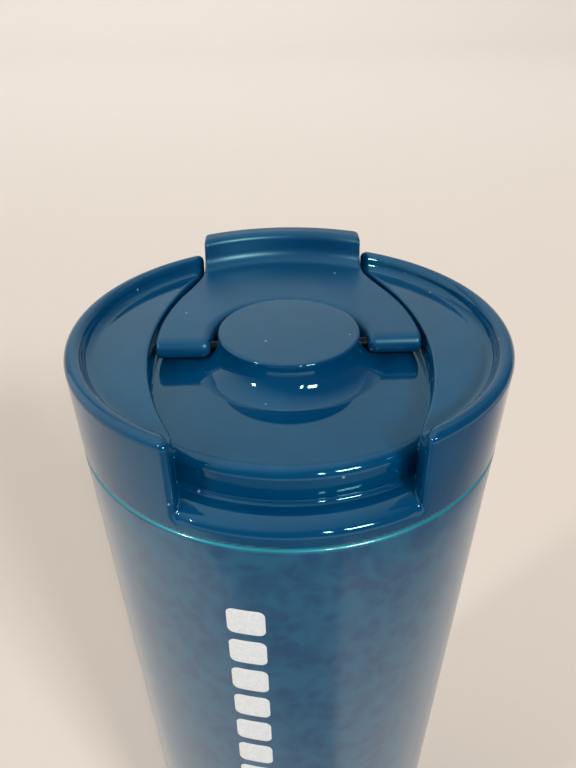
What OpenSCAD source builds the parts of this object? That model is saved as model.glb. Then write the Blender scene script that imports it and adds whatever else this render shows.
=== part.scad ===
// Insulated tumbler: double-wall steel body, screw-on lid, flip lever over the drink hole.
// Millimetres, +Z up, origin on the table under the middle of the base, lever tab towards +Y.

/* [Body] */
// Height of the steel body, from the table to the seam under the lid
body_h = 176; // [150:1:220]
// Radius lost for each millimetre below the rim, on the lid and the body alike
taper = 0.052; // [0.04:0.002:0.056]
// Wall of the painted outer shell
shell_t = 0.7; // [0.5:0.1:1]
// Wall of the inner vessel
liner_t = 0.6; // [0.5:0.1:0.8]
// Inner floor of the vessel above the table
floor_z = 8.6; // [8:0.2:12]
// Height of the steel edge above the table, where the silicone foot stands proud
foot_proud = 0.8; // [0.4:0.1:1.2]

/* [Neck and thread] */
// Inner radius of the neck
neck_r = 35.6; // [35.4:0.1:36]
// How far the inner wall steps in below the neck
neck_step = 1; // [0.6:0.1:1.4]
// Length of the straight neck
neck_h = 24; // [23.5:0.5:28]
// Rise of the thread in one full turn
lead = 12; // [10:1:14]
// Number of thread starts
starts = 3; // [2:1:3]
// Height of a thread ridge
ridge_h = 1; // [0.8:0.1:1.2]

/* [Lid] */
// Outer radius at the top of the rim
rim_r = 41; // [40.5:0.1:42]
// Height of the rim above the seam
lid_h = 17.7; // [17:0.1:19]
// Width of the rounded rim bead
bead_w = 3.2; // [2.6:0.1:3.4]
// Depth of the two side decks below the rim
side_deck = 3.15; // [2.8:0.05:3.4]
// Depth of the channel floor below the rim
deck = 6.9; // [6.7:0.1:7.1]
// Depth of the parking ledge below the rim
ledge = 13.2; // [12.8:0.1:13.4]
// Radius of the wall between the channel floor and the ledge
ledge_wall_r = 34.4; // [34.2:0.1:34.8]
// Half width of the channel at its middle
channel_half = 26; // [25.8:0.1:26.4]
// Radius of the two curved channel walls
channel_r = 67; // [65:1:70]
// Half width of the parking notch in front
notch_half = 19.2; // [18.6:0.1:19.4]
// Room on each side of the tab in the gap behind
gap_room = 0.45; // [0.4:0.05:0.6]
// Wall of the lid mouldings
lid_t = 2; // [1.8:0.1:2.2]

/* [Lever] */
// Depth of the lever's top below the rim
lever_top = 1.8; // [1.6:0.1:2]
// Thickness of the lever plate
lever_t = 4; // [3.8:0.1:4]
// Half width of the lever across its two arms
arm_half = 24.8; // [24.4:0.1:25]
// Radius of the lever's curved sides
arm_r = 49.8; // [48:0.2:52]
// Radius of the cut-out round the hub
cutout_r = 14.4; // [14.3:0.1:14.8]
// Half width of the tab
tab_half = 17.2; // [16.8:0.1:17.4]
// Radius of the tab's inner face
tab_r = 35.8; // [35.6:0.1:36.2]
// Height of the tab above the rim
tab_h = 4.4; // [4:0.1:4.4]
// Radius of the hinge pin
pin_r = 1; // [0.9:0.1:1]

/* [Hub] */
// Radius of the hub's flat top
hub_r = 13.2; // [12.8:0.1:13.3]
// Depth of the hub's top below the rim
hub_top = 0.6; // [0.4:0.1:0.8]
// Radius of the hub's flared foot
hub_foot_r = 18.4; // [17.8:0.1:18.6]

/* [Drink hole] */
// Distance of the drink hole from the lid's middle
hole_y = 26; // [25.6:0.1:26.2]
// Length of the drink hole
hole_l = 14; // [12:0.5:14.5]
// Width of the drink hole
hole_w = 7; // [6.8:0.1:7]

/* [Hidden] */
$fn = 96;
big = 100;
eps = 0.01;

// Heights in the tumbler's frame
rim_z = body_h + lid_h;
deck_z = rim_z - deck;
side_z = rim_z - side_deck;
ledge_z = rim_z - ledge;
skirt_z = body_h + 0.2;
axis_z = rim_z - lever_top - lever_t / 2;
lever_z = rim_z - lever_top - lever_t;
hub_z = rim_z - hub_top;
gap_half = tab_half + gap_room;

// Lid inside
cavity_r = 32.6;
flange_r = 38.1;
flange_top = body_h + 2.3;
flange_gap = 0.3;
plug_r = neck_r - ridge_h - 0.4;
plug_z = body_h - 23;
plug_floor = body_h - 10;
plug_floor_t = 2;
skirt_ring_t = 2.4;
gasket_in = 35;
gasket_out = 37.3;
gasket_h = 1.3;
gasket_gap = 0.05;
seal_h = 1;
tube_t = 1.2;
tube_end = plug_floor + seal_h;
vent_at = [-17, 15];
vent_r = 1;
foam_r = 31.5;
foam_h = 11;

// Thread: the neck's ridges start here, and the plug's ridges run half a pitch below them
thread_z = body_h - 16.5;
thread_from = 11;

// Hub inside
block_r = 11.4;
block_top = hub_z - 1.6;
cap_gap = 0.1;
screw_at = 7;
screw_r = 1.15;
screw_head_r = 2.3;
screw_head_h = 1.4;
screw_tip = axis_z + 0.4;
snap_z = deck_z + 2;
snap_r = 0.3;

// Lever details
tab_out = rim_r - 0.1;
tab_z = rim_z + tab_h;
cutout_edge = 1.6;
bead_r = bead_w / 2;
pin_end = arm_half - 1.2;
pin_run = 0.05;
stopper_flange = 4.5;
stopper_w = 5.6;
stopper_l = 12.6;
stopper_z = deck_z - 2.5;
boss_w = 2.4;
boss_l = 9;

// Base
base_r = 28.3;
base_t = 0.7;
base_z = 3.2;
foot_round = 1.8;
pad_r = 27.3;
dimple_r = 4;
dimple_h = 1.2;
getter_at = 14;

// Radius of the common outer cone at height z
function skin_r(z) = rim_r - taper * (rim_z - z);

// Inner radius of the vessel at height z below the neck
function liner_r(z) = neck_r - neck_step - taper * (body_h - neck_h - 4 - z);

// Points on an arc about c, from angle a to angle b
function arc(c, r, a, b, n = 10) = [for (i = [0 : n]) let (t = a + (b - a) * i / n) c + r * [cos(t), sin(t)]];

// Lathes a profile of [radius, height] points about Z
module lathe(points) {
    rotate_extrude() polygon(points);
}

// Ring from radius a to radius b, standing on height z
module ring(a, b, z, h) {
    translate([0, 0, z]) difference() {
        cylinder(r = b, h = h);
        translate([0, 0, -eps]) cylinder(r = a, h = h + 2 * eps);
    }
}

// Flat slot shape, l by w over its round ends, centred over the drink hole
module slot(l, w) {
    translate([0, hole_y]) {
        square([l - w, w], center = true);
        for (s = [-1, 1]) translate([s * (l - w) / 2, 0]) circle(d = w);
    }
}

// Slot-shaped bar from height z, h tall
module slot_bar(l, w, z, h) {
    translate([0, 0, z]) linear_extrude(h) slot(l, w);
}

// Thread ridges about Z. side is 1 for ridges that stand out of a plug, -1 for ridges that stand into a neck.
module ridges(root_r, side, half_w, z0, from, sweep) {
    n = ceil(sweep / 10);
    ramp = 2;
    sink = 0.3;
    points = [for (i = [0 : n]) let (
            a = from + sweep * i / n,
            z = z0 + lead * sweep * i / n / 360,
            h = ridge_h * min(1, (i + 0.4) / ramp, (n - i + 0.4) / ramp),
            low = root_r - side * sink,
            high = root_r + side * h
        ) each [for (p = [[low, -half_w], [low, half_w], [high, half_w * 0.45], [high, -half_w * 0.45]])
            [p[0] * cos(a), p[0] * sin(a), z + p[1]]]];
    quads = [for (i = [0 : n - 1], k = [0 : 3]) let (m = (k + 1) % 4)
        [4 * i + k, 4 * i + m, 4 * i + 4 + m, 4 * i + 4 + k]];
    faces = concat([[3, 2, 1, 0]], quads, [[4 * n, 4 * n + 1, 4 * n + 2, 4 * n + 3]]);
    turned = side > 0 ? [for (f = faces) [for (k = [3 : -1 : 0]) f[k]]] : faces;
    for (s = [0 : starts - 1]) rotate(s * 360 / starts) polyhedron(points, turned, convexity = 6);
}

// Plan of the channel across the lid, with its walls moved out by grow
module channel_plan(grow = 0) {
    intersection_for (s = [-1, 1])
        translate([s * (channel_r - channel_half), 0]) circle(r = channel_r + grow);
    for (s = [-1, 1]) rim_gap(s, grow);
}

// Straight gap through the rim: the parking notch at side -1, the tab's own gap at side 1
module rim_gap(side, grow = 0) {
    half = (side < 0 ? notch_half : gap_half) + grow;
    translate([-half, side < 0 ? -big : 0]) square([2 * half, big]);
}

// Rounds the upright edges where the rim stops at one of its two gaps
module post_corners(side) {
    q = 1.6;
    half = side < 0 ? notch_half : gap_half;
    cx = half + q;
    cy = sqrt(pow(rim_r - q, 2) - cx * cx);
    out = rim_r / (rim_r - q) * 1.1;
    for (s = [-1, 1]) scale([s, side]) difference() {
        polygon([[cx, cy], [half - 1, cy], [half - 1, cy + 6], [cx * out, cy + 6], [cx * out, cy * out]]);
        translate([cx, cy]) circle(r = q);
    }
}

module outer_shell() {
    top_r = 0.9;
    low = foot_proud;
    t = shell_t;
    top = body_h;
    color("#1d5878") lathe(concat(
        [[base_r, low]],
        arc([skin_r(low) - foot_round, low + foot_round], foot_round, -90, 0, 6),
        arc([skin_r(top) - top_r, top - top_r], top_r, 0, 90, 6),
        [[neck_r + 1.4, top], [neck_r + 1.4, top - t]],
        [[skin_r(top) - top_r, top - t], [skin_r(top - top_r) - t, top - top_r]],
        [[skin_r(low + foot_round) - t, low + foot_round], [skin_r(low) - foot_round, low + t]],
        [[base_r, low + t]]
    ));
}

module inner_liner() {
    bend = 7;
    t = liner_t;
    low = floor_z + bend;
    step_z = body_h - neck_h - 4;
    lip = neck_r + 1.4;
    color("#b9bdc0") {
        lathe(concat(
            [[0, floor_z]],
            arc([liner_r(low) - bend, low], bend, -90, 0, 8),
            [[liner_r(step_z), step_z], [neck_r, step_z + 4], [neck_r, body_h - 0.3], [neck_r + 0.3, body_h]],
            [[lip, body_h], [lip, body_h - t], [neck_r + t, body_h - t], [neck_r + t, step_z + 4]],
            [[liner_r(step_z) + t, step_z]],
            arc([liner_r(low) - bend, low], bend + t, 0, -90, 8),
            [[0, floor_z - t]]
        ));
        ridges(neck_r, -1, 0.8, thread_z, thread_from, 300);
    }
}

module outer_base() {
    color("#a9adb0") lathe([
        [dimple_r, base_z], [base_r - base_t, base_z], [base_r - base_t, foot_proud],
        [base_r, foot_proud], [base_r, base_z + base_t], [dimple_r + base_t, base_z + base_t],
        [dimple_r + base_t, base_z + base_t + dimple_h], [1, base_z + base_t + dimple_h],
        [1, base_z + dimple_h], [dimple_r, base_z + dimple_h]
    ]);
}

module vacuum_seal() {
    bead = 2.6;
    color("#6f7478") translate([0, 0, base_z + dimple_h - 1]) {
        cylinder(r = bead, h = 1);
        cylinder(r = 0.95, h = 1.6);
    }
}

module getter() {
    color("#4c4f52") translate([getter_at, 0, floor_z - liner_t - 2.2]) cylinder(r = 4.5, h = 2.2);
}

module pad_adhesive() {
    color("#d8d4c4") ring(dimple_r + 2, pad_r - 1.5, base_z - 0.3, 0.3);
}

module base_pad() {
    edge = 0.6;
    color("#173f58") lathe([
        [0, 0], [pad_r - edge, 0], [pad_r, edge], [pad_r, base_z - 0.3], [0, base_z - 0.3]
    ]);
}

module lid_gasket() {
    color("#dfe3e2") ring(gasket_in, gasket_out, body_h + gasket_gap, gasket_h);
}

// The lid's whole outside before anything is cut from it
module lid_blank() {
    edge = 0.4;
    c = skin_r(rim_z - bead_r) - bead_r;
    lathe(concat(
        [[0, skirt_z], [skin_r(skirt_z) - edge, skirt_z], [skin_r(skirt_z + edge), skirt_z + edge]],
        arc([c, rim_z - bead_r], bead_r, 0, 180, 12),
        [[c - bead_r, side_z], [0, side_z]]
    ));
}

// What rounds the outer edge of the parking ledge and of the drinking lip
module lip_round(z, r) {
    c = skin_r(z - r) - r;
    rotate_extrude() difference() {
        translate([c, z - r]) square([r + 2, r + 1]);
        translate([c, z - r]) circle(r = r);
    }
}

module lid_cover() {
    color("#064470") {
        difference() {
            lid_blank();
            // channel across the lid, parking notch in front, round corners where the rim stops
            translate([0, 0, deck_z]) linear_extrude(big) channel_plan();
            translate([0, 0, ledge_z]) linear_extrude(big) difference() {
                rim_gap(-1);
                circle(r = ledge_wall_r);
            }
            translate([0, 0, ledge_z - eps]) linear_extrude(big) post_corners(-1);
            translate([0, 0, deck_z - eps]) linear_extrude(big) post_corners(1);
            intersection() {
                lip_round(ledge_z, 3);
                linear_extrude(2 * big) rim_gap(-1);
            }
            intersection() {
                lip_round(deck_z, 1.5);
                linear_extrude(2 * big) rim_gap(1);
            }
            // hollow underside: middle, two side pockets, seat of the plug's flange
            translate([0, 0, skirt_z - 1]) cylinder(r = cavity_r, h = deck_z - lid_t - skirt_z + 1);
            translate([0, 0, skirt_z - 1]) linear_extrude(side_z - lid_t - skirt_z + 1) difference() {
                circle(r = rim_r - bead_w - 0.4);
                channel_plan(lid_t);
            }
            translate([0, 0, skirt_z - 1]) cylinder(r = flange_r + flange_gap, h = flange_top - skirt_z + 1);
            // drink hole, vent and screw holes
            slot_bar(hole_l, hole_w, skirt_z, big);
            translate([vent_at[0], vent_at[1], skirt_z]) cylinder(r = vent_r, h = big, $fn = 32);
            for (s = [-1, 1]) translate([0, s * screw_at, skirt_z])
                cylinder(r = screw_r + 0.25, h = big, $fn = 32);
        }
        // tubes that carry the drink hole and the vent down to the plug's floor
        difference() {
            slot_bar(hole_l + 2 * tube_t, hole_w + 2 * tube_t, tube_end, deck_z - 1 - tube_end);
            slot_bar(hole_l, hole_w, tube_end - 1, big);
        }
        translate([vent_at[0], vent_at[1], 0]) ring(vent_r, vent_r + tube_t, tube_end, deck_z - 1 - tube_end);
    }
}

module lid_plug() {
    groove_in = gasket_in - 0.1;
    groove_out = gasket_out + 0.1;
    inner = plug_r - skirt_ring_t;
    color("#0a4a76") {
        difference() {
            union() {
                translate([0, 0, plug_z]) cylinder(r = plug_r, h = flange_top - plug_z);
                translate([0, 0, skirt_z]) cylinder(r = flange_r, h = flange_top - skirt_z);
                ridges(plug_r, 1, 0.7, thread_z + lead * (40 / 360 - 0.5 / starts), thread_from + 40, 200);
            }
            translate([0, 0, plug_z - 1]) cylinder(r = inner, h = plug_floor - plug_floor_t - plug_z + 1);
            translate([0, 0, plug_floor]) cylinder(r = inner + 0.2, h = big);
            ring(groove_in, groove_out, skirt_z - 1, gasket_h + gasket_gap * 2 - 0.2 + 1);
            slot_bar(hole_l, hole_w, plug_floor - plug_floor_t - 1, 10);
            translate([vent_at[0], vent_at[1], plug_z]) cylinder(r = vent_r, h = 30, $fn = 32);
        }
    }
}

module insulation_disc() {
    clear = 0.5;
    color("#eceae2") difference() {
        translate([0, 0, plug_floor]) cylinder(r = foam_r, h = foam_h);
        slot_bar(hole_l + 2 * (tube_t + clear), hole_w + 2 * (tube_t + clear), plug_floor - 1, foam_h + 2);
        translate([vent_at[0], vent_at[1], plug_floor - 1])
            cylinder(r = vent_r + tube_t + clear, h = foam_h + 2);
    }
}

module spout_seal() {
    color("#dfe3e2") difference() {
        slot_bar(hole_l + 2 * tube_t, hole_w + 2 * tube_t, plug_floor, seal_h);
        slot_bar(hole_l, hole_w, plug_floor - 1, seal_h + 2);
    }
}

module vent_seal() {
    color("#dfe3e2") translate([vent_at[0], vent_at[1], 0]) ring(vent_r, vent_r + tube_t, plug_floor, seal_h);
}

module hinge_block() {
    color("#0b3f63") difference() {
        union() {
            translate([0, 0, deck_z]) cylinder(r = block_r, h = block_top - deck_z);
            rotate_extrude() translate([block_r, snap_z]) circle(r = snap_r, $fn = 24);
        }
        translate([0, 0, axis_z]) rotate([0, 90, 0])
            cylinder(r = pin_r + pin_run, h = big, center = true, $fn = 48);
        for (s = [-1, 1]) translate([0, s * screw_at, deck_z - 1])
            cylinder(r = screw_r, h = screw_tip - deck_z + 1.3, $fn = 32);
    }
}

module hub_screws() {
    head_z = deck_z - lid_t - screw_head_h;
    color("#8e9396") for (s = [-1, 1]) translate([0, s * screw_at, head_z]) difference() {
        union() {
            cylinder(r = screw_head_r, h = screw_head_h, $fn = 32);
            cylinder(r = screw_r, h = screw_tip - head_z, $fn = 32);
        }
        for (a = [0, 90]) rotate(a) translate([-1.4, -0.3, -eps]) cube([2.8, 0.6, 0.9]);
    }
}

module center_cap() {
    flare = hub_foot_r - hub_r - 0.2;
    round_r = 0.7;
    slot_w = 2 * pin_r + 0.6;
    inner = block_r + cap_gap;
    color("#06456f") difference() {
        lathe(concat(
            [[0, deck_z], [hub_foot_r, deck_z]],
            arc([hub_foot_r, deck_z + flare], flare, -90, -180, 8),
            arc([hub_r - round_r, hub_z - round_r], round_r, 0, 90, 6),
            [[0, hub_z]]
        ));
        translate([0, 0, deck_z - 1]) cylinder(r = inner, h = block_top + cap_gap - deck_z + 1);
        rotate_extrude() translate([block_r, snap_z]) circle(r = snap_r + cap_gap, $fn = 24);
        translate([-big, -slot_w / 2, deck_z - 1]) cube([2 * big, slot_w, axis_z - deck_z + 1]);
        translate([0, 0, axis_z]) rotate([0, 90, 0]) cylinder(d = slot_w, h = big, center = true, $fn = 48);
    }
}

// Plan of the lever behind its hinge line: two arms round the hub that run into the tab's stem
module lever_plan() {
    difference() {
        union() {
            intersection() {
                intersection_for (s = [-1, 1])
                    translate([s * (arm_r - arm_half), 0]) circle(r = arm_r);
                translate([-big, 0]) square([2 * big, hole_y + 6]);
            }
            intersection() {
                translate([-tab_half, cutout_r]) square([2 * tab_half, big]);
                circle(r = tab_r + 1);
            }
        }
        circle(r = cutout_r);
    }
}

module flip_lever() {
    nose = lever_t / 2;
    nose_in = cutout_r + 0.2 + nose;
    nose_out = arm_half - 0.2;
    edge = 1.2;
    color("#0a4f7c") difference() {
        union() {
            translate([0, 0, lever_z]) linear_extrude(lever_t) lever_plan();
            for (s = [-1, 1]) scale([s, 1, 1]) translate([nose_in, 0, axis_z]) {
                rotate([0, 90, 0]) cylinder(r = nose, h = nose_out - nose_in, $fn = 48);
                sphere(r = nose, $fn = 48);
            }
            // tab, curved like the rim, with a rounded top edge
            intersection() {
                rotate_extrude() {
                    translate([tab_r, lever_z]) square([tab_out - tab_r, tab_z - edge - lever_z]);
                    translate([tab_r + edge, lever_z]) square([tab_out - tab_r - 2 * edge, tab_z - lever_z]);
                    for (r = [tab_r + edge, tab_out - edge]) translate([r, tab_z - edge]) circle(r = edge);
                }
                translate([-tab_half, 0, 0]) cube([2 * tab_half, big, 2 * big]);
            }
            // boss that the silicone stopper is stretched over
            slot_bar(boss_l, boss_w, stopper_z + 1.2, lever_z - stopper_z);
        }
        // both rims of the cut-out are bevelled, so that the lever clears the hub's foot either way up
        for (s = [-1, 1]) translate([0, 0, axis_z]) scale([1, 1, s]) translate([0, 0, nose - cutout_edge])
            cylinder(r1 = cutout_r, r2 = cutout_r + cutout_edge + 1, h = cutout_edge + 1);
        for (s = [-1, 1]) translate([s * 20, 0, axis_z]) rotate([0, 90, 0])
            cylinder(r = pin_r, h = 14, center = true, $fn = 48);
        translate([vent_at[0], vent_at[1], lever_z - 1]) cylinder(r = 0.9, h = 3, $fn = 32);
    }
}

module hinge_pin() {
    color("#c4c8ca") translate([0, 0, axis_z]) rotate([0, 90, 0])
        cylinder(r = pin_r, h = 2 * pin_end, center = true, $fn = 48);
}

module drink_stopper() {
    color("#e4e8e6") difference() {
        union() {
            slot_bar(hole_l + 2, 2 * stopper_flange, deck_z + 0.1, lever_z - deck_z - 0.1);
            slot_bar(stopper_l, stopper_w, stopper_z, lever_z - stopper_z);
        }
        slot_bar(boss_l, boss_w, stopper_z + 1.2, big);
    }
}

module vent_pad() {
    color("#e4e8e6") translate([vent_at[0], vent_at[1], 0]) {
        translate([0, 0, deck_z + 0.1]) cylinder(r = 2.2, h = lever_z - deck_z - 0.1, $fn = 32);
        translate([0, 0, lever_z - eps]) cylinder(r = 0.9, h = 2 - 0.1, $fn = 32);
    }
}

outer_shell();
inner_liner();
outer_base();
vacuum_seal();
getter();
pad_adhesive();
base_pad();
lid_gasket();
lid_cover();
lid_plug();
insulation_disc();
spout_seal();
vent_seal();
hinge_block();
hub_screws();
center_cap();
flip_lever();
hinge_pin();
drink_stopper();
vent_pad();
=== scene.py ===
import math

import bpy
import numpy as np
from mathutils import Matrix, Vector


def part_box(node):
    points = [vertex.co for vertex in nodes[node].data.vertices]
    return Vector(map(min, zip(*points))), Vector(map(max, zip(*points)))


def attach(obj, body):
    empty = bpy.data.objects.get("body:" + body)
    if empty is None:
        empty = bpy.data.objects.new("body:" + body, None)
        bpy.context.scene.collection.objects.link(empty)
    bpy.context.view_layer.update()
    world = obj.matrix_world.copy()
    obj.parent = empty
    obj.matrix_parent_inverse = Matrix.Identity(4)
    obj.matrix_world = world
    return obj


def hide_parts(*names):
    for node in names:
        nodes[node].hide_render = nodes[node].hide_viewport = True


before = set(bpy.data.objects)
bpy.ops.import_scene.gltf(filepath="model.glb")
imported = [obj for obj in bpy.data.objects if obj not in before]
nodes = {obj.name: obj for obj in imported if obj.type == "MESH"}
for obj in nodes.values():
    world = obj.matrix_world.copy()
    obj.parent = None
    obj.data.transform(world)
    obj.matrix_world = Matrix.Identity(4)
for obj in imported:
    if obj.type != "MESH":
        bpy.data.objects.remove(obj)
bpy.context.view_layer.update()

mm = 0.001
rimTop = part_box("lid_cover")[1].z / mm  # heights of the lid are counted down from here
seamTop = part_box("outer_shell")[1].z / mm
print("frame loaded, rim at", round(rimTop, 1), "mm")


# small tools: numbers, meshes, materials

def linear(hexColour):
    # sRGB hex to the linear values that shaders want
    parts = [int(hexColour[i:i + 2], 16) / 255 for i in (1, 3, 5)]
    return tuple(p / 12.92 if p <= 0.04045 else ((p + 0.055) / 1.055) ** 2.4 for p in parts) + (1.0,)


def addNode(tree, kind, settings=None, links=None):
    # one shader node with its settings and what feeds its inputs
    node = tree.nodes.new("ShaderNode" + kind)
    for key, value in (settings or {}).items():
        if isinstance(key, str) and hasattr(node, key):
            setattr(node, key, value)
        else:
            node.inputs[key].default_value = value
    for key, output in (links or {}).items():
        tree.links.new(output, node.inputs[key])
    return node


def newMaterial(name):
    material = bpy.data.materials.new(name)
    material.use_nodes = True
    tree = material.node_tree
    tree.nodes.clear()
    shader = addNode(tree, "BsdfPrincipled")
    addNode(tree, "OutputMaterial", links={"Surface": shader.outputs["BSDF"]})
    return material, tree, shader


def addMesh(name, verts, faces, material, body, smoothAngle=None, normals=None):
    mesh = bpy.data.meshes.new(name)
    mesh.from_pydata([tuple(v) for v in verts], [], [tuple(f) for f in faces])
    mesh.validate()
    mesh.shade_smooth()
    if smoothAngle:
        mesh.set_sharp_from_angle(angle=math.radians(smoothAngle))
    if normals is not None:
        mesh.normals_split_custom_set_from_vertices([tuple(n) for n in normals])
    piece = bpy.data.objects.new(name, mesh)
    bpy.context.scene.collection.objects.link(piece)
    mesh.materials.append(material)
    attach(piece, body)
    return piece


def arc(cx, cz, r, start, stop, steps=10):
    # points on an arc, angles in degrees
    angles = np.radians(np.linspace(start, stop, steps + 1))
    return [(cx + r * math.cos(a), cz + r * math.sin(a)) for a in angles]


def turned(name, profile, material, body, steps=240, smoothAngle=35):
    # a closed (radius, height) outline in mm, turned about the tumbler's axis
    radius, height = np.array(profile, float).T
    count = len(radius)
    angles = np.linspace(0, 2 * math.pi, steps, endpoint=False)
    verts = [np.stack([radius * math.cos(a), radius * math.sin(a), height], 1) for a in angles]
    verts = np.concatenate(verts) * mm
    faces = []
    for i in range(steps):
        j = (i + 1) % steps
        for k in range(count):
            m = (k + 1) % count
            if radius[k] == 0 and radius[m] == 0:  # this edge lies on the axis
                continue
            faces.append((i * count + k, j * count + k, j * count + m, i * count + m))
    piece = addMesh(name, verts, faces, material, body)
    weld = piece.modifiers.new("weld", "WELD")
    weld.merge_threshold = 1e-6
    applyModifiers(piece)
    piece.data.shade_smooth()
    piece.data.set_sharp_from_angle(angle=math.radians(smoothAngle))
    return piece


def applyModifiers(piece):
    graph = bpy.context.evaluated_depsgraph_get()
    made = bpy.data.meshes.new_from_object(piece.evaluated_get(graph))
    old = piece.data
    piece.modifiers.clear()
    piece.data = made
    made.name = old.name
    bpy.data.meshes.remove(old)


# moulded parts: a distance field in mm, then a quad skin laid on its zero surface

def roundCut(a, b, r):
    # what is inside both a and b, with the edge between them rounded
    return np.minimum(-r, np.maximum(a, b)) + np.hypot(np.maximum(a + r, 0), np.maximum(b + r, 0))


def roundJoin(a, b, r):
    # what is inside a or b, with a fillet between them
    return np.maximum(r, np.minimum(a, b)) - np.hypot(np.maximum(r - a, 0), np.maximum(r - b, 0))


def ease(value, low, high):
    t = np.clip((value - low) / (high - low), 0, 1)
    return t * t * (3 - 2 * t)


def slopeOf(field, p):
    h = 0.01  # mm
    slope = np.empty_like(p)
    for axis in range(3):
        step = np.zeros(3)
        step[axis] = h
        ahead, behind = p + step, p - step
        slope[:, axis] = (field(*ahead.T) - field(*behind.T)) / (2 * h)
    return slope


def moulded(name, field, low, high, pitch, material, body):
    # lays a quad skin on the field's zero surface, then slides it exactly onto that surface
    lines = [np.arange(a - 2 * pitch, b + 3 * pitch, pitch) for a, b in zip(low, high)]
    values = field(*np.meshgrid(*lines, indexing="ij"))
    inside = values < 0
    corners = [(i, j, k) for i in (0, 1) for j in (0, 1) for k in (0, 1)]
    size = [len(line) - 1 for line in lines]

    def shifted(grid, corner):
        return grid[tuple(slice(c, c + n) for c, n in zip(corner, size))]

    filled = sum(shifted(inside, c).astype(np.int8) for c in corners)
    cells = np.argwhere((filled > 0) & (filled < 8))
    number = np.full(size, -1, np.int64)
    number[tuple(cells.T)] = np.arange(len(cells))
    at = [values[tuple((cells + c).T)] for c in corners]
    total = np.zeros((len(cells), 3))
    hits = np.zeros(len(cells))
    for a in range(8):
        for b in range(a + 1, 8):
            ca, cb = np.array(corners[a]), np.array(corners[b])
            if np.abs(ca - cb).sum() != 1:
                continue
            crossing = (at[a] < 0) != (at[b] < 0)
            share = np.where(crossing, at[a] / np.where(crossing, at[a] - at[b], 1), 0)
            total += np.where(crossing, 1, 0)[:, None] * (ca + share[:, None] * (cb - ca))
            hits += crossing
    origin = np.array([line[0] for line in lines])
    points = origin + pitch * (cells + total / hits[:, None])

    faces = []
    for axis in range(3):
        u, v = (axis + 1) % 3, (axis + 2) % 3
        before, after = [slice(None)] * 3, [slice(None)] * 3
        before[axis], after[axis] = slice(0, -1), slice(1, None)
        first, second = inside[tuple(before)], inside[tuple(after)]
        edges = np.argwhere(first != second)
        edges = edges[(edges[:, u] > 0) & (edges[:, v] > 0)]
        outward = first[tuple(edges.T)]
        stepU, stepV = np.zeros(3, int), np.zeros(3, int)
        stepU[u], stepV[v] = 1, 1
        around = [edges - stepU - stepV, edges - stepV, edges, edges - stepU]
        quad = np.stack([number[tuple(c.T)] for c in around], 1)
        quad[~outward] = quad[~outward][:, ::-1]
        faces.append(quad)
    faces = np.concatenate(faces)

    for turn in range(5):
        if turn < 2:  # even out the quads along the surface first
            total, count = np.zeros_like(points), np.zeros(len(points))
            for k in range(4):
                for other in (faces[:, (k + 1) % 4], faces[:, (k + 3) % 4]):
                    np.add.at(total, faces[:, k], points[other])
                    np.add.at(count, faces[:, k], 1)
            points = points + 0.5 * (total / count[:, None] - points)
        slope = slopeOf(field, points)
        push = field(*points.T)[:, None] * slope / np.maximum((slope ** 2).sum(1), 0.05)[:, None]
        points = points - np.clip(push, -0.5 * pitch, 0.5 * pitch)
    slope = slopeOf(field, points)
    normals = slope / np.linalg.norm(slope, axis=1)[:, None]
    points[:, 2] += rimTop
    print(name, len(faces), "quads")
    return addMesh(name, points * mm, faces, material, body, normals=normals)


# camera

# lens in mm, angles in degrees, place in mm from the middle of the rim
view = {"focal": 35.48, "pitch": 32.33, "roll": -0.5, "turn": -2.1, "place": (-0.25, -124.6, 66.2)}


def makeCamera():
    pitch, roll = math.radians(view["pitch"]), math.radians(view["roll"])
    look = Vector((0, math.cos(pitch), -math.sin(pitch)))
    level, upright = Vector((1, 0, 0)), Vector((0, math.sin(pitch), math.cos(pitch)))
    right = math.cos(roll) * level + math.sin(roll) * upright
    up = -math.sin(roll) * level + math.cos(roll) * upright
    pose = Matrix((right, up, -look)).transposed().to_4x4()
    spin = Matrix.Rotation(math.radians(view["turn"]), 4, "Z")
    rim = Matrix.Translation((0, 0, rimTop * mm))
    back = Matrix.Translation([v * mm for v in view["place"]])
    data = bpy.data.cameras.new("camera")
    data.lens = view["focal"]
    data.sensor_width = 36
    data.clip_start = 0.005
    camera = bpy.data.objects.new("camera", data)
    bpy.context.scene.collection.objects.link(camera)
    camera.matrix_world = rim @ spin @ back @ pose
    bpy.context.scene.camera = camera


makeCamera()
print("camera placed")


# materials

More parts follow.
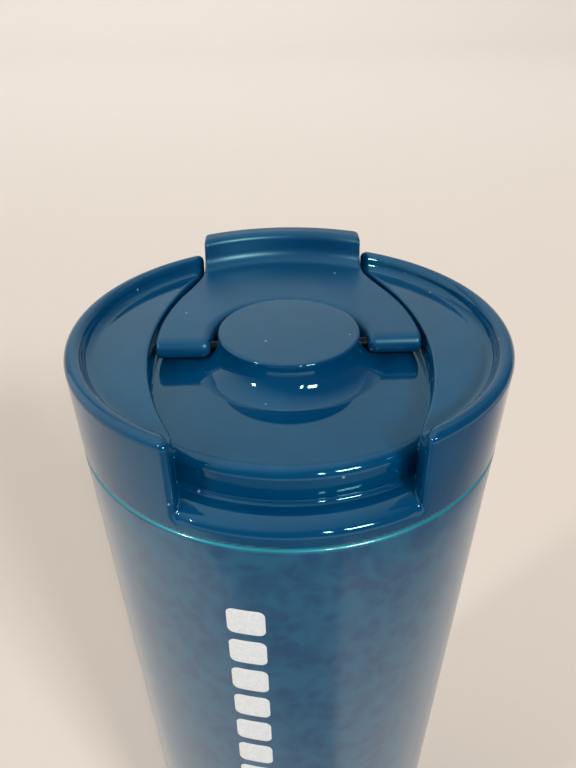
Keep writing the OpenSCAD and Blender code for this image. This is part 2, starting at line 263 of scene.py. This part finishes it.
def glossAbs(name, rough, lift):
    # injection-moulded ABS, deep blue: a wet gloss from a polished tool, with clouding 17 mm across,
    # smudges 22 mm across, a faint waviness of 12 mm, and specks of dust under 0.5 mm
    material, tree, shader = newMaterial(name)
    place = addNode(tree, "TexCoord")
    cloud = addNode(tree, "TexNoise", {"Scale": 60, "Detail": 3}, {"Vector": place.outputs["Object"]})
    colour = addNode(tree, "ValToRGB", links={"Fac": cloud.outputs["Fac"]})
    colour.color_ramp.elements[0].color = linear("#003a62")
    colour.color_ramp.elements[1].color = linear("#00446c")
    colour.color_ramp.elements[0].position = 0.35
    colour.color_ramp.elements[1].position = 0.7
    dust = addNode(tree, "TexVoronoi", {"Scale": 260}, {"Vector": place.outputs["Object"]})
    speck = addNode(tree, "MapRange", {"From Min": 0.075, "From Max": 0.045},
                    {"Value": dust.outputs["Distance"]})
    pick = addNode(tree, "SeparateColor", links={"Color": dust.outputs["Color"]})
    rare = addNode(tree, "Math", {"operation": "GREATER_THAN", 1: 0.72}, {0: pick.outputs["Red"]})
    dusty = addNode(tree, "Math", {"operation": "MULTIPLY"},
                    {0: speck.outputs["Result"], 1: rare.outputs["Value"]})
    shade = addNode(tree, "Mix", {"data_type": "RGBA", "B": linear("#8ea3ae")},
                    {"Factor": dusty.outputs["Value"], "A": colour.outputs["Color"]})
    tree.links.new(shade.outputs["Result"], shader.inputs["Base Color"])
    smudge = addNode(tree, "TexNoise", {"Scale": 45, "Detail": 4}, {"Vector": place.outputs["Object"]})
    gloss = addNode(tree, "MapRange",
                    {"From Min": 0.35, "From Max": 0.7, "To Min": rough, "To Max": rough + lift},
                    {"Value": smudge.outputs["Fac"]})
    tree.links.new(gloss.outputs["Result"], shader.inputs["Roughness"])
    swell = addNode(tree, "TexNoise", {"Scale": 85, "Detail": 1}, {"Vector": place.outputs["Object"]})
    sink = addNode(tree, "Bump", {"Distance": 0.00003, "Strength": 1.0}, {"Height": swell.outputs["Fac"]})
    tree.links.new(sink.outputs["Normal"], shader.inputs["Normal"])
    shader.inputs["IOR"].default_value = 1.57
    shader.inputs["Specular Tint"].default_value = (0.5, 1.0, 1.0, 1.0)
    return material


def mottledLacquer():
    # translucent blue lacquer over turned steel under a clear coat: faint crackled patches 4 to 8 mm across,
    # and a painted highlight: a turquoise band along the rolled top edge where it catches the light
    material, tree, shader = newMaterial("mottledLacquer")
    place = addNode(tree, "TexCoord")
    drift = addNode(tree, "TexNoise", {"Scale": 110, "Detail": 4}, {"Vector": place.outputs["Object"]})
    warped = addNode(tree, "VectorMath", {"operation": "MULTIPLY_ADD", 1: (0.012, 0.012, 0.012)},
                     {0: drift.outputs["Color"], 2: place.outputs["Object"]})
    cells = addNode(tree, "TexVoronoi", {"feature": "SMOOTH_F1", "Scale": 260, "Smoothness": 0.3},
                    {"Vector": warped.outputs["Vector"]})
    patch = addNode(tree, "TexNoise", {"Scale": 160, "Detail": 5, "Roughness": 0.65},
                    {"Vector": warped.outputs["Vector"]})
    blend = addNode(tree, "Mix", {"Factor": 0.4},
                    {"A": patch.outputs["Fac"], "B": cells.outputs["Distance"]})
    colour = addNode(tree, "ValToRGB", links={"Fac": blend.outputs["Result"]})
    colour.color_ramp.elements[0].color = linear("#06426b")
    colour.color_ramp.elements[1].color = linear("#125678")
    colour.color_ramp.elements[0].position = 0.38
    colour.color_ramp.elements[1].position = 0.6
    height = addNode(tree, "SeparateXYZ", links={"Vector": place.outputs["Object"]})
    # painted highlight: the rolled top edge is coloured turquoise, standing in for the light it catches
    edge = addNode(tree, "MapRange", {"From Min": (seamTop - 0.6) * mm, "From Max": (seamTop - 0.35) * mm},
                   {"Value": height.outputs["Z"]})
    shade = addNode(tree, "Mix", {"data_type": "RGBA", "B": linear("#1f8b9c")},
                    {"Factor": edge.outputs["Result"], "A": colour.outputs["Color"]})
    tree.links.new(shade.outputs["Result"], shader.inputs["Base Color"])
    rough = addNode(tree, "MapRange", {"To Min": 0.27, "To Max": 0.42}, {"Value": blend.outputs["Result"]})
    tree.links.new(rough.outputs["Result"], shader.inputs["Roughness"])
    relief = addNode(tree, "Bump", {"Distance": 0.00005, "Strength": 0.35},
                     {"Height": blend.outputs["Result"]})
    tree.links.new(relief.outputs["Normal"], shader.inputs["Normal"])
    shader.inputs["Metallic"].default_value = 0.1
    shader.inputs["Specular Tint"].default_value = (0.5, 0.95, 1.0, 1.0)
    shader.inputs["Coat Weight"].default_value = 0.8
    shader.inputs["Coat Roughness"].default_value = 0.1
    shader.inputs["Coat IOR"].default_value = 1.45
    return material


def grained(name, hexDark, hexLight, rough, metallic=0.0, grain=2.0, stretch=(1, 1, 1), relief=0.01):
    # a material with a fine grain: its size and depth in mm, longer along an axis where stretch is under 1
    material, tree, shader = newMaterial(name)
    place = addNode(tree, "TexCoord")
    drawn = addNode(tree, "VectorMath", {"operation": "MULTIPLY", 1: stretch}, {0: place.outputs["Object"]})
    noise = addNode(tree, "TexNoise", {"Scale": 1 / (grain * mm), "Detail": 3},
                    {"Vector": drawn.outputs["Vector"]})
    colour = addNode(tree, "ValToRGB", links={"Fac": noise.outputs["Fac"]})
    colour.color_ramp.elements[0].color = linear(hexDark)
    colour.color_ramp.elements[1].color = linear(hexLight)
    colour.color_ramp.elements[0].position = 0.35
    colour.color_ramp.elements[1].position = 0.65
    tree.links.new(colour.outputs["Color"], shader.inputs["Base Color"])
    value = addNode(tree, "MapRange", {"To Min": rough - 0.06, "To Max": rough + 0.06},
                    {"Value": noise.outputs["Fac"]})
    tree.links.new(value.outputs["Result"], shader.inputs["Roughness"])
    bump = addNode(tree, "Bump", {"Distance": relief * mm, "Strength": 0.6},
                   {"Height": noise.outputs["Fac"]})
    tree.links.new(bump.outputs["Normal"], shader.inputs["Normal"])
    shader.inputs["Metallic"].default_value = metallic
    return material, shader


lidPlastic = glossAbs("glossAbs", 0.04, 0.04)
leverPlastic = glossAbs("softGlossAbs", 0.33, 0.05)
bodyPaint = mottledLacquer()
# stainless steel, turned and brushed: fine level lines round the vessel
steel, _ = grained("brushedSteel", "#b9bec1", "#d3d6d8", 0.3, 1.0, 2.0, (0.2, 0.2, 6), 0.006)
# blackened steel rod: dark, with a dull sheen
blackSteel, _ = grained("blackenedSteel", "#101317", "#1c2126", 0.4, 0.9, 1.5)
# food-grade silicone, moulded: milky, light passes a little way into it
silicone, milky = grained("clearSilicone", "#c3cecb", "#d4dcda", 0.4, 0.0, 1.2, relief=0.004)
milky.inputs["Subsurface Weight"].default_value = 0.6
milky.inputs["Subsurface Radius"].default_value = (0.002, 0.002, 0.002)
# dark silicone, moulded in a blasted tool: matte with a fine grain
footSilicone, _ = grained("footSilicone", "#12364d", "#1b4762", 0.6, 0.0, 0.6)
# closed-cell polyethylene foam, and the foam tape under the foot: pale, with bubbles 0.8 mm across
foam, _ = grained("cellFoam", "#dcd9d0", "#f2f0ea", 0.9, 0.0, 0.8, relief=0.12)
# screen-printed ink: flat white with a trace of the mesh in it
ink, _ = grained("whiteInk", "#dbe0e2", "#e9edef", 0.35, 0.0, 0.5, relief=0.003)
# moulded polypropylene inside the lid: the same blue with less gloss
innerPlastic, _ = grained("innerPolypropylene", "#073f66", "#0c4a74", 0.28, 0.0, 3.0, relief=0.008)
print("materials made")

cadFinish = {
    "inner_liner": steel, "outer_base": steel, "vacuum_seal": steel, "getter": steel, "hub_screws": steel,
    "hinge_pin": blackSteel, "pad_adhesive": foam, "insulation_disc": foam, "base_pad": footSilicone,
    "lid_gasket": silicone, "spout_seal": silicone, "vent_seal": silicone, "drink_stopper": silicone,
    "vent_pad": silicone, "lid_plug": innerPlastic, "hinge_block": innerPlastic,
    "lid_cover": lidPlastic, "center_cap": lidPlastic, "flip_lever": lidPlastic, "outer_shell": bodyPaint,
}
for name, material in cadFinish.items():
    part = nodes[name]
    part.data.materials.clear()
    part.data.materials.append(material)


# lid cover

# radii and half widths as they are, heights counted down from the rim, all in mm
lidCover = {
    "rimRadius": 41.0, "taper": 0.052, "beadWidth": 3.2, "beadFoot": 1.9, "sideDeck": 3.15, "deck": 6.9,
    "channelHalf": 26.0, "channelRadius": 67.0, "notchHalf": 19.2, "gapHalf": 17.65, "mouthRound": 1.0,
    "wall": 2.0, "wallEdge": 0.5, "wallFoot": 0.35, "wallRadius": 34.4, "deckRound": 1.9,
    "ledge": 13.2, "ledgeFoot": 0.9, "bendFrom": 36.3, "bendRadius": 5.0,
    "postRound": 1.6, "lipRound": 0.8, "farLipRound": 1.5, "lipBlend": 2.5, "rimBlend": (35.5, 38.2),
    "skirt": 17.5, "skirtRound": 0.4, "seat": 15.1, "seatRadius": 38.4,
    "cavityRadius": 32.6, "pocketGap": 0.4,
    "holeAt": 26.0, "holeLength": 14.0, "holeWidth": 7.0, "holeEdge": 0.4,
    "ventAt": (-17.0, 15.0), "ventRadius": 1.0, "ventEdge": 0.2,
    "tubeEnd": 26.7, "tubeWall": 1.2, "tubeLap": 1.0, "screwAt": 7.0, "screwHole": 1.4,
}


def skinRadius(z):
    return lidCover["rimRadius"] + lidCover["taper"] * z


def channelPlan(x, y):
    # the lens-shaped channel with its mouth at each end, seen from above
    c = lidCover
    away = c["channelRadius"] - c["channelHalf"]
    lens = np.maximum(np.hypot(x + away, y), np.hypot(x - away, y)) - c["channelRadius"]
    gap = np.abs(x) - np.where(y < 0, c["notchHalf"], c["gapHalf"])
    return roundJoin(lens, gap, c["mouthRound"])


def slotPlan(x, y, length, width):
    return np.hypot(np.maximum(np.abs(x) - (length - width) / 2, 0), y - lidCover["holeAt"]) - width / 2


def coverField(x, y, z):
    c = lidCover
    rho = np.hypot(x, y)
    skin = rho - skinRadius(z)
    half = c["beadWidth"] / 2
    bead = roundCut(z, c["rimRadius"] - c["beadWidth"] - rho, half)
    top = roundJoin(bead, z + c["sideDeck"], c["beadFoot"])
    blank = roundCut(roundCut(skin, top, half), -c["skirt"] - z, c["skirtRound"])
    plan = channelPlan(x, y)
    wall = roundCut(z + c["deck"], rho - c["wallRadius"], c["deckRound"])
    bend = np.maximum(rho - c["bendFrom"], 0)
    ledge = (z + c["ledge"] + bend ** 2 / (2 * c["bendRadius"])) / np.sqrt(1 + (bend / c["bendRadius"]) ** 2)
    floor = np.where(y < 0, roundJoin(wall, ledge, c["ledgeFoot"]), z + c["deck"])
    lip = np.where(y < 0, c["lipRound"], c["farLipRound"])
    outer = c["postRound"] + (lip - c["postRound"]) * ease(-plan, 0, c["lipBlend"])
    edge = c["wallEdge"] + (outer - c["wallEdge"]) * ease(rho, *c["rimBlend"])
    solid = roundCut(blank, roundJoin(-plan, floor, c["wallFoot"]), edge)
    middle = np.maximum(rho - c["cavityRadius"], z + c["deck"] + c["wall"])
    seat = np.maximum(rho - c["seatRadius"], z + c["seat"])
    pocket = np.maximum(rho - c["rimRadius"] + c["beadWidth"] + c["pocketGap"], c["wall"] - plan)
    pocket = np.maximum(pocket, z + c["sideDeck"] + c["wall"])
    solid = np.maximum(solid, -np.minimum(np.minimum(middle, seat), pocket))
    hole = slotPlan(x, y, c["holeLength"], c["holeWidth"])
    vent = np.hypot(x - c["ventAt"][0], y - c["ventAt"][1]) - c["ventRadius"]
    tubes = np.minimum(hole, vent) - c["tubeWall"]
    tubes = np.maximum(np.maximum(tubes, -c["tubeEnd"] - z), z + c["deck"] + c["tubeLap"])
    solid = np.minimum(solid, tubes)
    screws = np.hypot(x, np.abs(y) - c["screwAt"]) - c["screwHole"]
    return np.maximum(roundCut(roundCut(solid, -hole, c["holeEdge"]), -vent, c["ventEdge"]), -screws)


cover = moulded("lidCover", coverField, (-41, -41, -27), (41, 41, 0), 0.5, lidPlastic, "lid")
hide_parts("lid_cover")


# flip lever

flipLever = {
    "armHalf": 24.8, "armRadius": 49.8, "cutout": 14.4, "top": 1.8, "thick": 4.0, "flat": 0.05, "heel": 1.9,
    "tabHalf": 17.2, "tabDraft": 0.015, "tabIn": 35.8, "tabOut": 40.9, "tabTop": 4.4, "tabRound": 1.6,
    "tabFoot": 3.0, "tabFrom": 10.0, "lap": 2.0, "seam": 0.02, "shoulder": 3.0, "edge": 0.8, "pin": 1.02,
    "bossLength": 9.0, "bossWidth": 2.4, "bossEnd": 8.2, "bossHalf": 2.0,
}


def leverField(x, y, z):
    p = flipLever
    rho = np.hypot(x, y)
    nose = p["thick"] / 2
    mid = z + p["top"] + nose
    away = p["armRadius"] - p["armHalf"]
    sides = np.maximum(np.hypot(x + away, y), np.hypot(x - away, y)) - p["armRadius"]
    tabSides = np.abs(x) - p["tabHalf"] + p["tabDraft"] * (mid + nose)
    outline = roundJoin(sides, tabSides, p["shoulder"])
    inner = roundCut(p["cutout"] - rho, -nose - y, p["heel"])
    plate = roundCut(np.abs(mid) - nose, inner, nose - p["flat"])
    plate = np.maximum(plate, rho - p["tabIn"] - p["lap"])
    tab = roundCut(rho - p["tabOut"], z - p["tabTop"], p["tabRound"])
    tab = roundCut(tab, p["tabIn"] - rho, p["tabRound"])
    tab = np.maximum(roundCut(tab, -mid - nose, p["edge"]), p["tabFrom"] - y)
    # the tab's fillet is on the upper side only
    whole = roundJoin(plate, tab, p["seam"] + p["tabFoot"] * ease(mid, -0.5, 0.5))
    whole = roundCut(whole, outline, p["edge"])
    boss = np.abs(z + p["bossEnd"] - p["bossHalf"]) - p["bossHalf"]
    boss = np.maximum(slotPlan(x, y, p["bossLength"], p["bossWidth"]), boss)
    return np.maximum(np.minimum(whole, boss), p["pin"] - np.hypot(y, mid))


lever = moulded("flipLever", leverField, (-25, -2.2, -8.4), (25, 41, 4.5), 0.35, leverPlastic, "lever")
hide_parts("flip_lever")


# hub cap

hubCap = {
    "radius": 13.2, "top": 0.6, "deck": 6.9, "flare": 5.3, "brim": 19.4, "edge": 0.5,
    "draft": 0.15, "draftSpan": (-3.5, -0.6), "bore": 11.5, "shell": 2.1, "sunk": 0.02, "bed": 0.3,
    "hole": 1.05, "holeSpan": (10.0, 16.0), "holeEdge": 0.1,
}


def hubField(x, y, z):
    c = hubCap
    rho = np.hypot(x, y)
    wall = rho - c["radius"] - c["draft"] * (1 - ease(z, *c["draftSpan"]))
    side = roundJoin(wall, z + c["deck"] + c["sunk"], c["flare"])
    cap = roundCut(np.maximum(side, rho - c["brim"]), z + c["top"], c["edge"])
    cap = np.maximum(cap, -c["deck"] - c["bed"] - z)
    cap = np.maximum(cap, -np.maximum(rho - c["bore"], z + c["shell"]))
    mid = z + flipLever["top"] + flipLever["thick"] / 2
    hole = np.maximum(np.hypot(y, mid) - c["hole"], c["holeSpan"][0] - rho)
    hole = np.maximum(hole, rho - c["holeSpan"][1])
    return roundCut(cap, -hole, c["holeEdge"])


cap = moulded("hubCap", hubField, (-19.4, -19.4, -7.3), (19.4, 19.4, -0.5), 0.3, lidPlastic, "lid")
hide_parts("center_cap")


# silicone under the lever: the stopper over the drink hole and the nub over the vent

stopper = {
    "flangeLength": 16.0, "flangeWidth": 9.0, "flangeLow": 6.8, "high": 5.8, "flangeRound": 0.45,
    "plugLength": 12.6, "plugWidth": 5.6, "plugLow": 9.4, "plugRound": 1.1, "foot": 0.5,
}
nub = {
    "radius": 2.2, "low": 6.8, "high": 5.8, "round": 0.45, "stem": 0.9, "stemHigh": 3.9, "lap": 0.5,
    "foot": 0.02,
}


def stopperField(x, y, z):
    p = stopper
    flange = np.maximum(slotPlan(x, y, p["flangeLength"], p["flangeWidth"]), z + p["high"])
    flange = roundCut(flange, -p["flangeLow"] - z, p["flangeRound"])
    plug = np.maximum(slotPlan(x, y, p["plugLength"], p["plugWidth"]), z + p["high"])
    plug = roundCut(plug, -p["plugLow"] - z, p["plugRound"])
    boss = flipLever  # the lever's boss fills the stopper's hollow
    hollow = np.maximum(slotPlan(x, y, boss["bossLength"], boss["bossWidth"]), -boss["bossEnd"] - z)
    return np.maximum(roundJoin(flange, plug, p["foot"]), -hollow)


def nubField(x, y, z):
    p = nub
    rho = np.hypot(x - lidCover["ventAt"][0], y - lidCover["ventAt"][1])
    pad = roundCut(np.maximum(rho - p["radius"], z + p["high"]), -p["low"] - z, p["round"])
    stem = np.maximum(np.maximum(rho - p["stem"], z + p["stemHigh"]), -p["low"] + p["lap"] - z)
    return roundJoin(pad, stem, p["foot"])


plug = moulded("drinkStopper", stopperField, (-8.1, 21.4, -9.5), (8.1, 30.6, -5.7), 0.25, silicone, "lever")
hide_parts("drink_stopper")
vent = moulded("ventPad", nubField, (-19.3, 12.7, -6.9), (-14.7, 17.3, -3.8), 0.15, silicone, "lever")
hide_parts("vent_pad")


# gasket and foot

gasket = {"inner": 35.0, "outer": 37.3, "low": 176.05, "high": 177.35, "round": 0.45}
foot = {
    "radius": 27.3, "high": 2.9, "round": 1.0, "topRound": 0.3,
    "rings": 4, "first": 9.0, "step": 4.4, "deep": 0.5, "half": 0.7,
}


def makeGasket():
    g = gasket
    r = g["round"]
    inner, outer, low, high = g["inner"] + r, g["outer"] - r, g["low"] + r, g["high"] - r
    profile = arc(outer, low, r, -90, 0, 6) + arc(outer, high, r, 0, 90, 6)
    profile += arc(inner, high, r, 90, 180, 6) + arc(inner, low, r, 180, 270, 6)
    piece = turned("lidGasket", profile, silicone, "gasket")
    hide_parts("lid_gasket")


def makeFoot():
    # a moulded pad with shallow rings for grip underneath
    f = foot
    profile = [(0, 0)]
    for k in range(f["rings"]):
        r = f["first"] + k * f["step"]
        profile += [(r + u * f["half"], f["deep"] * (1 - u * u) ** 0.5) for u in np.linspace(-1, 1, 9)]
    profile += arc(f["radius"] - f["round"], f["round"], f["round"], -90, 0, 8)
    profile += arc(f["radius"] - f["topRound"], f["high"] - f["topRound"], f["topRound"], 0, 90, 4)
    profile += [(0, f["high"])]
    piece = turned("footPad", profile, footSilicone, "root")
    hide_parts("base_pad")


makeGasket()
makeFoot()
print("seals and foot made")


# steel shell

shell = {
    "wall": 0.7, "slack": 0.1, "topRound": 0.9, "footRound": 1.8, "low": 0.8, "rise": 2.0,
    "baseRadius": 28.3, "lip": 37.0,
}


def coneRadius(z):
    return skinRadius(z - rimTop)


def makeShell():
    # up the outside, over the rolled top edge and back down the inside
    s = shell
    low, top, t = s["low"], seamTop, s["wall"]
    profile = [(s["baseRadius"], low)]
    profile += arc(coneRadius(low) - s["footRound"], low + s["footRound"], s["footRound"], -90, 0)
    heights = np.linspace(low + s["footRound"], top - s["topRound"], 24)[1:-1]
    profile += [(coneRadius(z), z) for z in heights]
    profile += arc(coneRadius(top) - s["topRound"], top - s["topRound"], s["topRound"], 0, 90)
    profile += [(s["lip"], top), (s["lip"], top - t), (coneRadius(top) - s["topRound"], top - t)]
    profile += [(coneRadius(top) - t - s["slack"], top - s["topRound"])]
    profile += [(coneRadius(low + s["rise"]) - t, low + s["footRound"])]
    profile += [(coneRadius(low) - s["footRound"], low + t), (s["baseRadius"], low + t)]
    piece = turned("steelShell", profile, bodyPaint, "root", steps=288)
    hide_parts("outer_shell")


makeShell()


# printed column of bars on the shell

bars = {
    "azimuth": -103.5, "top": 161.0, "count": 12, "pitch": 8.2, "width": 6.8, "tall": 6.3, "corner": 1.3,
    "proud": 0.04, "sunk": 0.15, "bevel": 0.015,
}


def makeBars():
    # flat rounded bars wrapped round the cone, one under another
    b = bars
    verts, faces = [], []
    across, upright = b["width"] / 2, b["tall"] / 2
    outline = []
    for cx, cz, start in ((1, 1, 0), (-1, 1, 90), (-1, -1, 180), (1, -1, 270)):
        centre = (cx * (across - b["corner"]), cz * (upright - b["corner"]))
        outline += arc(*centre, b["corner"], start, start + 90, 8)
        if cx == cz:  # more points along the level sides, which follow the curve of the shell
            level = np.linspace(across - b["corner"], b["corner"] - across, 12)[1:-1]
            outline += [(cx * u, cz * upright) for u in level]
    middle = math.radians(b["azimuth"])
    for k in range(b["count"]):
        at = b["top"] - upright - k * b["pitch"]
        first = len(verts)
        rings = [(1.0, -b["sunk"]), (1.0, b["proud"] - b["bevel"]), (1.0 - b["bevel"], b["proud"])]
        rings += [(share, b["proud"]) for share in (0.75, 0.5, 0.25)]  # so that the face follows the cone
        for share, lift in rings:
            for u, w in outline:
                z = at + w * share
                r = coneRadius(z) + lift
                a = middle + u * share / r
                verts.append((r * math.cos(a) * mm, r * math.sin(a) * mm, z * mm))
        n = len(outline)
        for ring in range(len(rings) - 1):
            low = first + ring * n
            for i in range(n):
                j = (i + 1) % n
                faces.append((low + i, low + j, low + n + j, low + n + i))
        top = len(verts)
        r = coneRadius(at) + b["proud"]
        verts.append((r * math.cos(middle) * mm, r * math.sin(middle) * mm, at * mm))
        low = first + (len(rings) - 1) * n
        faces += [(low + i, low + (i + 1) % n, top) for i in range(n)]
        faces.append(tuple(first + i for i in reversed(range(n))))
    piece = addMesh("printedBars", verts, faces, ink, "root", smoothAngle=30)


makeBars()
print("body made")


# stage and light

# sheet sizes and distances in metres; each edge is a direction, and where the shade starts and ends along it
sweep = {"half": 2.6, "front": -12.0, "back": 1.6, "bend": 0.6, "top": 3.0}
paper = {
    "near": "#e2d6cb", "far": "#f4eae1", "wall": "#cbd6d4", "shaded": "#87837f",
    "edges": [((1, 0.466, 0), -0.012, 0.012), ((-1, 2.11, 0), -0.25, -0.1)],
    "right": ((-1, 0.6, 0), -0.26, -0.1), "reach": (0.36, 0.56),
}


def palePaper():
    # warm white paper, lighter towards the back, with a painted soft shade on it in front and far out on the
    # right
    material, tree, shader = newMaterial("palePaper")
    place = addNode(tree, "TexCoord")

    def fade(slope, low, high):
        side = addNode(tree, "VectorMath", {"operation": "DOT_PRODUCT", 1: slope},
                       {0: place.outputs["Object"]})
        part = addNode(tree, "MapRange",
                       {"interpolation_type": "SMOOTHSTEP", "From Min": low, "From Max": high},
                       {"Value": side.outputs["Value"]})
        return part.outputs["Result"]

    # painted shade: these masks pick the parts of the paper that stay lit; the rest, near the tumbler, gets
    # the shaded colour
    first, second = fade(*paper["edges"][0]), fade(*paper["edges"][1])
    sides = addNode(tree, "Math", {"operation": "MAXIMUM"}, {0: first, 1: second})
    inner = addNode(tree, "Math", {"operation": "MULTIPLY"},
                    {0: sides.outputs["Value"], 1: fade(*paper["right"])})
    away = addNode(tree, "VectorMath", {"operation": "LENGTH"}, {0: place.outputs["Object"]})
    low, high = paper["reach"]
    far = addNode(tree, "MapRange", {"interpolation_type": "SMOOTHSTEP", "From Min": low, "From Max": high},
                  {"Value": away.outputs["Value"]})
    lit = addNode(tree, "Math", {"operation": "MAXIMUM"},
                  {0: inner.outputs["Value"], 1: far.outputs["Result"]})
    pale = addNode(tree, "Mix", {"data_type": "RGBA", "A": linear(paper["near"]), "B": linear(paper["far"])},
                   {"Factor": fade((0, 1, 0), 0.1, 1.5)})
    upper = addNode(tree, "Mix", {"data_type": "RGBA", "B": linear(paper["wall"])},
                    {"Factor": fade((0, 0, 1), 0.15, 0.7), "A": pale.outputs["Result"]})
    # painted shade: the paper's colour is darkened to the shaded grey outside the lit mask
    colour = addNode(tree, "Mix", {"data_type": "RGBA", "A": linear(paper["shaded"])},
                     {"Factor": lit.outputs["Value"], "B": upper.outputs["Result"]})
    tree.links.new(colour.outputs["Result"], shader.inputs["Base Color"])
    shader.inputs["Roughness"].default_value = 0.6
    return material


def makeStage():
    # one sheet that lies flat, bends up behind the tumbler and rises as a wall
    s = sweep
    verts, faces = [], []
    rows = [(s["front"], 0.0), (s["back"], 0.0)]
    for a in np.radians(np.linspace(6, 90, 15)):
        rows.append((s["back"] + s["bend"] * math.sin(a), s["bend"] * (1 - math.cos(a))))
    rows.append((s["back"] + s["bend"], s["top"]))
    for y, z in rows:
        verts += [(-s["half"], y, z), (s["half"], y, z)]
    for i in range(len(rows) - 1):
        faces.append((2 * i, 2 * i + 1, 2 * i + 3, 2 * i + 2))
    mesh = bpy.data.meshes.new("backdrop")
    mesh.from_pydata(verts, [], faces)
    mesh.shade_smooth()
    mesh.materials.append(palePaper())
    backdrop = bpy.data.objects.new("backdrop", mesh)
    bpy.context.scene.collection.objects.link(backdrop)


makeStage()

# places and sizes in metres, power in watts; a light without an aim points at the lid
lights = {
    "windowRight": {"place": (0.95, -1.5, 1.3), "size": (0.42, 0.34), "power": 24},
    "windowPane": {"place": (0.5, -1.72, 1.25), "size": (0.1, 0.34), "power": 6},
    "lampLeft": {"place": (-1.7, -1.15, 1.35), "size": (0.2, 0.3), "power": 14},
    "wallWash": {"place": (-0.5, 0.6, 1.9), "size": (2.4, 0.5), "power": 25, "aim": (-0.1, 2.2, 1.5)},
}


def addLight(name, place, size, power, aim=(0, 0, rimTop * mm)):
    data = bpy.data.lights.new(name, "AREA")
    data.shape = "RECTANGLE"
    data.size, data.size_y = size
    data.energy = power
    light = bpy.data.objects.new(name, data)
    bpy.context.scene.collection.objects.link(light)
    light.location = place
    light.visible_camera = False
    light.rotation_mode = "QUATERNION"
    light.rotation_quaternion = (Vector(place) - Vector(aim)).to_track_quat("Z", "Y")


for name, light in lights.items():
    addLight(name, **light)

# the room's own light: bright towards the upper left at the back, dim in front
room = {
    "toward": (-0.5, 0.55, 0.67), "from": 0.0, "to": 0.95, "dark": 0.1, "bright": 1.12, "colour": "#fff9f5",
}


def makeRoom():
    world = bpy.data.worlds.new("room")
    world.use_nodes = True
    tree = world.node_tree
    place = addNode(tree, "TexCoord")
    lean = addNode(tree, "VectorMath", {"operation": "DOT_PRODUCT", 1: room["toward"]},
                   {0: place.outputs["Generated"]})
    glow = addNode(tree, "MapRange",
                   {"interpolation_type": "SMOOTHSTEP", "From Min": room["from"], "From Max": room["to"],
                    "To Min": room["dark"], "To Max": room["bright"]}, {"Value": lean.outputs["Value"]})
    tree.nodes["Background"].inputs["Color"].default_value = linear(room["colour"])
    tree.links.new(glow.outputs["Result"], tree.nodes["Background"].inputs["Strength"])
    bpy.context.scene.world = world


makeRoom()
bpy.context.scene.view_settings.view_transform = "Standard"
print("stage and lights made")

print("scene done")
